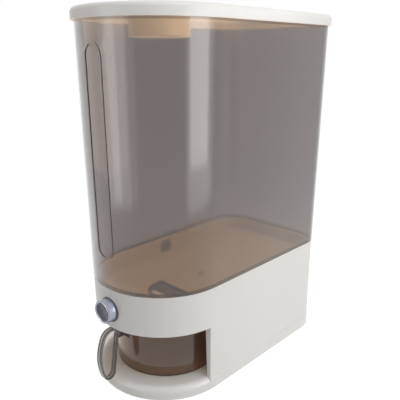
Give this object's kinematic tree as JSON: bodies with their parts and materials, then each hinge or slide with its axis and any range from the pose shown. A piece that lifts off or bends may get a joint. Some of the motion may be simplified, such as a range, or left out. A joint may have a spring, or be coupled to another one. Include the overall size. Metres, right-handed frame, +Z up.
{
  "type": "rice dispenser",
  "caption": "Upright rice store with a lift-off lid, a smoky clear hopper and a sprung button that lets rice fall into a pull-out measuring cup in the base.",
  "frame": {"origin": "middle of the footprint, on the surface that it stands on", "axes": "+Z up, -Y towards the front with the button and the cup, +X to the right seen from the front"},
  "size_m": [0.1712, 0.3067, 0.396],
  "materials": {
    "white_shell": "glossy",
    "smoky_clear": "glossy",
    "smoky_cup": "glossy",
    "grey_button": "satin",
    "dark_ring": "satin",
    "natural_works": "matte",
    "zinc": "satin",
    "spring_steel": "bright",
    "soft_seal": "matte",
    "foot_rubber": "matte",
    "pouch": "matte"
  },
  "bodies": {
    "base": {"base_plate": "white_shell", "feet": "foot_rubber", "base_screws": "zinc", "base_housing": "white_shell", "cup_bay": "white_shell", "funnel": "white_shell", "funnel_screw": "zinc", "gate_guide": "natural_works", "gate_guide_screws": "zinc", "button_bezel": "dark_ring", "hopper": "smoky_clear", "hopper_seal": "soft_seal"},
    "button": {"button_cap": "grey_button", "shutter_gate": "natural_works", "button_spring": "spring_steel"},
    "cup": {"measuring_cup": "smoky_cup"},
    "lid_body": {"lid": "white_shell", "lid_seal": "soft_seal", "moisture_box": "white_shell", "moisture_cover": "white_shell", "moisture_sachet": "pouch"}
  },
  "joints": [
    {"name": "button_press", "type": "slide", "parent": "base", "child": "button", "axis": [0, 1, 0], "range_m": [0, 0.009], "stiffness_N_per_m": 150, "springref_m": -0.004, "deforming": ["button_spring"]},
    {"name": "cup_pull", "type": "slide", "parent": "base", "child": "cup", "axis": [0, -1, 0], "range_m": [0, 0.135]},
    {"name": "lid_lift", "type": "slide", "parent": "base", "child": "lid_body", "axis": [0, 0, 1], "range_m": [0, 0.06]}
  ]
}
